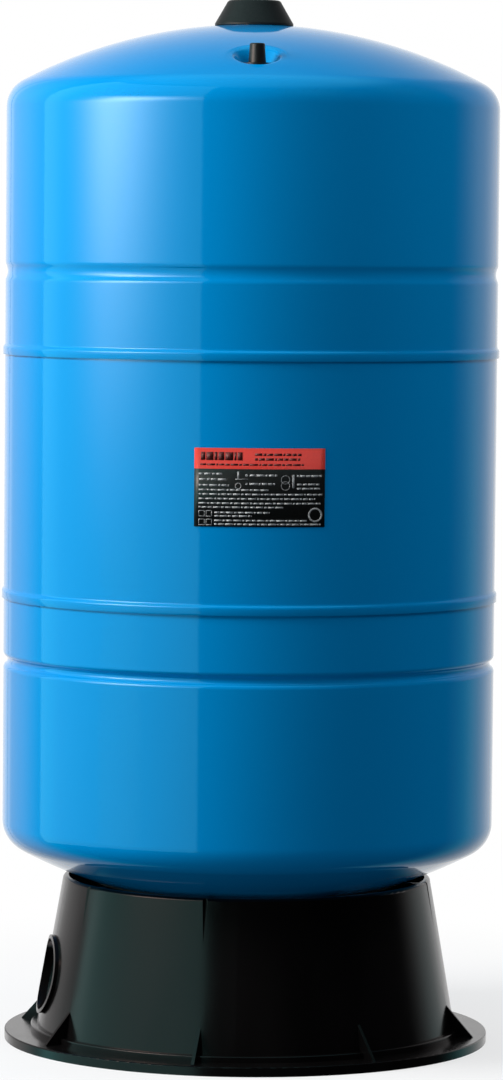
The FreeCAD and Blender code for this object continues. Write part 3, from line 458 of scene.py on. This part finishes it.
def eased(value, low, high):
    """Smooth step from 0 at low to 1 at high."""
    share = min(max((value - low) / (high - low), 0), 1)
    return share * share * (3 - 2 * share)


def dome_height(place):
    return crown_centre + math.sqrt(CROWN_RADIUS ** 2 - place.x ** 2 - place.y ** 2)


def pressed_height(place):
    """Height of the dome with the flat pressed into it."""
    dome = dome_height(place)
    out = (place.xy - valve.xy).length
    beyond = out - DIMPLE_RADIUS
    wall = dimple_floor + (beyond + math.hypot(beyond, DIMPLE_CORNER)) / 2 / DIMPLE_SLOPE
    soft = min(RIM_SOFT + RIM_SOFTER * (dome - dimple_floor), RIM_SOFTEST)
    soft *= eased(out, FLAT_RADIUS, DIMPLE_RADIUS) * (1 - eased(out, APRON_START, APRON_RADIUS))
    return (wall + dome - math.hypot(wall - dome, soft)) / 2


def from_valve(vert):
    return (vert.co.xy - valve.xy).length


knuckle_top = max(vert.co.z for vert in shell.verts)
spoke = [shell.verts.new((valve.x + VALVE_HOLE, valve.y, dimple_floor))]
while from_valve(spoke[-1]) < APRON_RADIUS:
    made = bmesh.ops.extrude_vert_indiv(shell, verts=[spoke[-1]])
    spoke += made["verts"]
    reach = from_valve(spoke[-2]) + (WIDE_RING if from_valve(spoke[-2]) < FLAT_RADIUS else FINE_RING)
    spoke[-1].co.x = valve.x + min(reach, APRON_RADIUS + SAME)
spoke_edges = [edge for edge in shell.edges if all(vert in spoke for vert in edge.verts)]
bmesh.ops.spin(shell, geom=spoke + spoke_edges, cent=valve, axis=(0, 0, 1), angle=math.tau,
               steps=COLUMNS, use_merge=True)
for vert in shell.verts:
    if from_valve(vert) < APRON_RADIUS + NEAR:
        vert.co.z = pressed_height(vert.co)
loops = [edge for edge in shell.edges if edge.is_boundary
         and all(abs(from_valve(vert) - APRON_RADIUS) < NEAR or abs(vert.co.z - knuckle_top) < SAME
                 for vert in edge.verts)]
made = bmesh.ops.bridge_loops(shell, edges=loops)
bridges = dict.fromkeys(edge for face in made["faces"] for edge in face.edges)
spokes = [edge for edge in bridges if edge not in loops]
made = bmesh.ops.subdivide_edges(shell, edges=spokes, cuts=DOME_ROWS, use_grid_fill=True)
for item in made["geom_inner"]:
    if isinstance(item, bmesh.types.BMVert):
        item.co.z = dome_height(item.co)
sheet_metal(finished("upper_shell_skin", shell, paint, "tank", "blue_paint", "upper_shell"), SHEET)

middle_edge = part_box("middle_shell")[0].z
profile = Profile(SHELL_RADIUS + LAP_STEP, middle_edge, math.pi / 2)
profile.swage()
profile.go(MIDDLE_LENGTH + LAP_COVER - LAP_HEIGHT)
sheet_metal(finished("middle_shell_skin", profile.turned(COLUMNS), paint, "tank", "blue_paint",
                     "middle_shell"), SHEET)

# The lower shell starts at the hole of the water connection, in the flat under its dome.
CONNECTION_HOLE = 0.017
CONNECTION_SEAT = 0.036
flat_turn = math.asin(CONNECTION_SEAT / CROWN_RADIUS)
profile = Profile(CONNECTION_HOLE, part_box("lower_shell")[0].z, 0)
profile.go(CONNECTION_SEAT - CONNECTION_HOLE)
profile.heading = flat_turn
profile.bend(CROWN_RADIUS, math.pi / 2 - KNUCKLE_TURN - flat_turn)
profile.bend(KNUCKLE_RADIUS, KNUCKLE_TURN)
profile.go(LOWER_STRAIGHT - CLENCH_DROP - CLENCH[1] / 2)
profile.dent(*CLENCH)
profile.go(CLENCH_DROP - CLENCH[1] / 2 + LAP_COVER)
sheet_metal(finished("lower_shell_skin", profile.turned(COLUMNS), paint, "tank", "blue_paint",
                     "lower_shell"), SHEET)


# The label: a printed film stuck to the middle shell, red above and black below, with plain dark
# and pale fields of print: rows, two pairs of small frames and a ring.
LABEL_RADIUS = 0.1955
LABEL_AZIMUTH = math.radians(2.2)
LABEL_HALF = 0.05
LABEL_COLUMN = 0.004
FILM = 0.0003
INK = 0.00005
BAND_SHARE = 0.265
BAND_SOFT = 0.0001
label_low, label_high = (corner.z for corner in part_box("label"))
label_middle = (label_low + label_high) / 2
band_low = label_high - BAND_SHARE * (label_high - label_low)


def on_label(mesh, verts, depth):
    """Bends flat verts, in millimetres from the label's middle, round the shell, as solid film."""
    sheet = list(dict.fromkeys(face for vert in verts for face in vert.link_faces))
    made = bmesh.ops.extrude_face_region(mesh, geom=sheet)
    lifted = {item for item in made["geom"] if isinstance(item, bmesh.types.BMVert)}
    for vert in list(verts) + list(lifted):
        turn = LABEL_AZIMUTH + vert.co.x / 1000 / LABEL_RADIUS
        radius = LABEL_RADIUS + (depth if vert in lifted else 0)
        height = label_middle + vert.co.y / 1000
        vert.co = (radius * math.sin(turn), -radius * math.cos(turn), height)


def field(mesh, left, right, low, high, depth=INK):
    """Rectangle of film or ink on the label."""
    columns = max(1, round((right - left) / 1000 / LABEL_COLUMN))
    made = bmesh.ops.create_grid(mesh, x_segments=columns, y_segments=1, size=0.5)
    for vert in made["verts"]:
        vert.co.x = left + (vert.co.x + 0.5) * (right - left)
        vert.co.y = low + (vert.co.y + 0.5) * (high - low)
    on_label(mesh, made["verts"], depth)


film, pen = new_material("printed_film")
spot = pen.add("TexCoord", out=3)
height = outputs(pen.add("SeparateXYZ", sockets={0: spot}), 2)[0]
speck = pen.add("TexNoise", None, {"Vector": spot, "Scale": 700.0, "Detail": 2.0})
black = speck.mix((0.006, 0.006, 0.006, 1), (0.014, 0.014, 0.014, 1))
red = speck.mix((0.56, 0.03, 0.022, 1), (0.66, 0.045, 0.03, 1))
shader = pen.add("BsdfPrincipled", sockets={
    "Base Color": height.step(band_low - BAND_SOFT, band_low + BAND_SOFT).mix(black, red),
    "Roughness": 0.3 + 0.1 * speck,
})
pen.add("OutputMaterial", sockets={"Surface": shader})
mesh = bmesh.new()
half_height = (label_high - label_low) * 500
field(mesh, -LABEL_HALF * 1000, LABEL_HALF * 1000, -half_height, half_height, -FILM)
finished("label_film", mesh, film, "tank", "label_film", "label")

# The print, in millimetres from the label's middle. A row is left, right, middle and height, and is
# broken into words of uneven lengths. A bar is left, right, low and high, a frame its left and low
# corner, and a ring its centre with the outer and inner radius.
WORDS = (3.4, 5.6, 2.3, 4.5, 6.2, 1.7, 3.9)
WORD_GAP = 0.7
PALE_ROWS = (
    (-46.5, -28, 10.2, 1.4), (-46.5, -25, 6.0, 1.4), (-46.5, -23.5, 1.6, 1.4),
    (-7.8, 13, 9.2, 1.5), (-7.8, 11.5, 2.8, 1.5), (28.2, 47.5, 8.9, 1.5), (28.2, 45.5, 2.5, 1.3),
    (28.2, 46.5, -0.7, 1.3), (-46.5, 6.5, -1.9, 1.2), (-46.5, 48, -5.2, 1.2), (-46.5, 42.5, -8.6, 1.2),
    (-46.5, 46.5, -12.0, 1.2), (-46.5, 18, -15.0, 1.2), (-34.3, 7.5, -19.0, 1.2),
    (-34.3, -6, -21.6, 1.2), (-34.3, 36, -25.0, 1.2), (-34.3, 47, -27.8, 1.2),
)
DARK_ROWS = (
    (-45, -12.5, 23.6, 6.2), (-4, 31.5, 25.0, 1.8), (-4, 30.5, 21.4, 1.8), (-45.5, 33.5, 17.3, 1.4),
)
BARS = ((-17.1, -15.7, 6.6, 12.0), (-18.6, -9.0, 6.1, 6.6), (24.6, 26.2, -0.2, 9.9))
FRAMES = ((-46.4, -22.1), (-40.8, -22.1), (-46.4, -28.6), (-40.8, -28.6))
FRAME_SIDE = 4.6
FRAME_LINE = 0.4
RING_CORNERS = 40
RINGS = (
    (42.5, -20.6, 5.5, 4.2), (-16.4, 1.2, 2.4, 1.9), (-10.1, 9.2, 1.0, 0.1),
    (-10.1, 2.8, 0.8, 0.1), (19.4, 6.0, 3.4, 3.0), (19.4, 1.4, 3.4, 3.0),
)


def print_row(mesh, left, right, middle, height, word):
    while left < right:
        end = min(left + WORDS[word % len(WORDS)], right)
        field(mesh, left, end, middle - height / 2, middle + height / 2)
        left = end + WORD_GAP
        word += 1


def ink(name, first, second):
    material, pen = new_material(name)
    tone = pen.add("TexNoise", None, {"Vector": pen.add("TexCoord", out=3), "Scale": 1500.0})
    shader = pen.add("BsdfPrincipled", sockets={
        "Base Color": tone.step(0.35, 0.65).mix(first, second),
        "Roughness": 0.4 + 0.1 * tone,
    })
    pen.add("OutputMaterial", sockets={"Surface": shader})
    return material


mesh = bmesh.new()
for number, row in enumerate(PALE_ROWS):
    print_row(mesh, *row, number)
for left, low in FRAMES:
    right, high = left + FRAME_SIDE, low + FRAME_SIDE
    field(mesh, left, right, low, low + FRAME_LINE)
    field(mesh, left, right, high - FRAME_LINE, high)
    field(mesh, left, left + FRAME_LINE, low + FRAME_LINE, high - FRAME_LINE)
    field(mesh, right - FRAME_LINE, right, low + FRAME_LINE, high - FRAME_LINE)
for bar in BARS:
    field(mesh, *bar)
for across, up, outer, inner in RINGS:
    place = Matrix.Translation((across, up, 0))
    rims = [bmesh.ops.create_circle(mesh, segments=RING_CORNERS, radius=radius, matrix=place)["verts"]
            for radius in (outer, inner)]
    both = dict.fromkeys(edge for rim in rims for vert in rim for edge in vert.link_edges)
    bmesh.ops.bridge_loops(mesh, edges=list(both))
    on_label(mesh, rims[0] + rims[1], INK)
pale_ink = ink("pale_ink", (0.16, 0.16, 0.16, 1), (0.5, 0.5, 0.5, 1))
finished("label_pale_print", mesh, pale_ink, "tank", "label_film")
mesh = bmesh.new()
for number, row in enumerate(DARK_ROWS):
    print_row(mesh, *row, number)
dark_ink = ink("dark_ink", (0.03, 0.006, 0.006, 1), (0.16, 0.012, 0.01, 1))
finished("label_dark_print", mesh, dark_ink, "tank", "label_film")


# The air valve: a brass stem with a fine thread, a washer and nut that pull it up against a rubber
# ring, a screwed-in core with its sprung pin, and a moulded dust cap with a rubber disc.
STEM_RADIUS = 0.00384
STEM_RIDGE = 0.0002
STEM_PITCH = 0.00079
STEM_CHAMFER = 0.0004


def finish(name, first, second, scale, rough, metallic=0.0, relief=0.0, stretch=(1, 1, 1),
           gloss=0.5):
    """Material of two mottled tones with a fine relief. A stretch makes its grain run one way."""
    material, pen = new_material(name)
    spot = pen.add("Mapping", sockets={"Vector": pen.add("TexCoord", out=3), "Scale": stretch})
    tone = pen.add("TexNoise", None, {"Vector": spot, "Scale": scale, "Detail": 4.0})
    sockets = {
        "Base Color": tone.step(0.3, 0.7).mix(first, second),
        "Roughness": rough[0] + (rough[1] - rough[0]) * tone,
        "Metallic": metallic,
        "Specular IOR Level": gloss,
    }
    if relief:
        sockets["Normal"] = pen.add("Bump", None, {"Strength": 0.2, "Distance": relief, "Height": tone})
    pen.add("OutputMaterial", sockets={"Surface": pen.add("BsdfPrincipled", sockets=sockets)})
    return material


def dress(material, *nodes):
    for node in nodes:
        data = frame["nodes"][node].data
        data.materials.clear()
        data.materials.append(material)


def screw_thread(name, material, middle, axis, radius, depth, pitch, length, slot, columns=40):
    """Ridge of a thread as one helix. A negative depth makes the ridge stand inwards, as in a nut."""
    mesh = bmesh.new()
    last = mesh.verts.new((radius, 0, 0))
    line = [last]
    for x, z in ((radius + depth, pitch * 0.5), (radius, pitch)):
        line += bmesh.ops.extrude_vert_indiv(mesh, verts=[line[-1]])["verts"]
        line[-1].co = (x, 0, z)
    turns = (length - pitch) / pitch
    steps = round(turns * columns)
    bmesh.ops.spin(mesh, geom=mesh.verts[:] + mesh.edges[:], cent=(0, 0, 0), axis=(0, 0, 1),
                   dvec=(0, 0, turns * pitch / steps), angle=turns * math.tau, steps=steps)
    bmesh.ops.remove_doubles(mesh, verts=mesh.verts, dist=pitch / 100)
    towards = Vector(axis).to_track_quat("Z", "Y").to_matrix().to_4x4()
    mesh.transform(Matrix.Translation(middle) @ towards)
    return finished(name, mesh, material, "tank", slot)


brass = finish("valve_brass", (0.72, 0.5, 0.22, 1), (0.8, 0.58, 0.27, 1), scale=260.0,
               rough=(0.22, 0.34), metallic=1.0, relief=0.0002)
rubber = finish("seal_rubber", (0.018, 0.018, 0.018, 1), (0.03, 0.03, 0.03, 1), scale=500.0,
                rough=(0.6, 0.75), relief=0.0002)
pin_steel = finish("pin_steel", (0.5, 0.5, 0.51, 1), (0.62, 0.62, 0.63, 1), scale=400.0,
                   rough=(0.25, 0.35), metallic=1.0, relief=0.0001)
cap_plastic = finish("cap_plastic", (0.009, 0.009, 0.009, 1), (0.014, 0.014, 0.014, 1), scale=900.0,
                     rough=(0.3, 0.4), relief=0.0002, gloss=0.3)
dress(brass, "valve_stem", "valve_nut", "core_body")
dress(rubber, "valve_seal", "core_cup", "core_ring", "cap_seal")
dress(pin_steel, "core_pin")
dress(cap_plastic, "valve_cap", "valve_washer")

# The core's spring is wound from fine steel wire. It stands on the core and holds the pin's head
# up, so it shortens by the pin's travel.
WIRE_SAME = 1e-7
wire = bmesh.new()
wire.from_mesh(frame["nodes"]["core_spring"].data)
bmesh.ops.remove_doubles(wire, verts=wire.verts, dist=WIRE_SAME)
spring = finished("core_spring_wire", wire, pin_steel, "tank", "plain_steel", "core_spring")
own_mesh(spring)

nut_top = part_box("valve_nut")[1].z
stem_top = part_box("valve_stem")[1].z
screw_thread("stem_thread", brass, (valve.x, valve.y, nut_top), (0, 0, 1), STEM_RADIUS,
             STEM_RIDGE, STEM_PITCH, stem_top - nut_top - STEM_CHAMFER, "valve_brass")

# The crown: a turned steel boss, welded into the top of the shell, under a push-on plastic cap
# with a satin moulded skin.
boss_steel = finish("boss_steel", (0.32, 0.31, 0.3, 1), (0.42, 0.41, 0.4, 1), scale=180.0,
                    rough=(0.3, 0.5), metallic=1.0, relief=0.0003)
crown_plastic = finish("crown_plastic", (0.009, 0.01, 0.01, 1), (0.014, 0.015, 0.015, 1), scale=700.0,
                       rough=(0.4, 0.5), relief=0.0003, gloss=0.2)
dress(boss_steel, "crown_boss")
dress(crown_plastic, "crown_cap")

# The stand: one injection moulding in black polypropylene, satin, with faint flow lines, on which
# the lower dome is held by a bead of adhesive.
STAND_BLACK = (0.003, 0.0026, 0.0026, 1)
STAND_WORN = (0.0045, 0.004, 0.004, 1)

stand_plastic, pen = new_material("stand_plastic")
spot = pen.add("TexCoord", out=3)
flow = pen.add("TexNoise", None, {
    "Vector": pen.add("Mapping", sockets={"Vector": spot, "Scale": (1.0, 1.0, 0.25)}),
    "Scale": 22.0, "Detail": 3.0})
grain = pen.add("TexNoise", None, {"Vector": spot, "Scale": 1400.0, "Detail": 1.0})
relief = pen.add("Bump", sockets={"Strength": 0.12, "Distance": 0.0002, "Height": grain})
shader = pen.add("BsdfPrincipled", sockets={
    "Base Color": flow.step(0.3, 0.7).mix(STAND_BLACK, STAND_WORN),
    "Roughness": 0.14 + 0.1 * flow,
    "IOR": 1.46,
    "Specular IOR Level": 0.35,
    "Specular Tint": (1.0, 0.8, 0.8, 1),
    "Normal": relief,
})
pen.add("OutputMaterial", sockets={"Surface": shader})
dress(stand_plastic, "stand")
dress(rubber, "stand_adhesive")

# The water connection: a stainless sleeve through the bottom of the shell, an elbow below it and a
# hexagon coupling with a pipe thread that points at the port, each sealed with a rubber gasket.
PIPE_RIDGE = -0.0009
PIPE_PITCH = 0.00231
PIPE_LENGTH = 0.018

stainless = finish("stainless", (0.5, 0.5, 0.49, 1), (0.6, 0.6, 0.59, 1), scale=90.0,
                   rough=(0.26, 0.4), metallic=1.0, relief=0.0003, stretch=(1, 1, 6))
dress(stainless, "inlet_fitting", "water_elbow", "outlet_coupling")
dress(rubber, "inlet_gasket", "elbow_gasket")
mouth = frame["record"]["mounts"][0]
outward = Vector(mouth["axis"])
bore = mouth["dims"]["r_mm"] / 1000
screw_thread("pipe_thread", stainless, Vector(mouth["pos_m"]) - outward * PIPE_LENGTH, outward, bore,
             PIPE_RIDGE, PIPE_PITCH, PIPE_LENGTH, "stainless")

# Inside the shells: the butyl diaphragm lies on the liner of the water side, and a rolled steel
# hoop clamps both into the deep groove.
butyl = finish("butyl_rubber", (0.012, 0.012, 0.012, 1), (0.022, 0.022, 0.022, 1), scale=60.0,
               rough=(0.5, 0.65), relief=0.0004)
liner = finish("liner_plastic", (0.72, 0.72, 0.7, 1), (0.8, 0.8, 0.78, 1), scale=40.0,
               rough=(0.4, 0.5), relief=0.0003)
hoop_steel = finish("hoop_steel", (0.36, 0.36, 0.37, 1), (0.46, 0.46, 0.47, 1), scale=120.0,
                    rough=(0.35, 0.5), metallic=1.0, relief=0.0003)
dress(butyl, "diaphragm")
dress(liner, "water_liner")
dress(hoop_steel, "clench_ring")
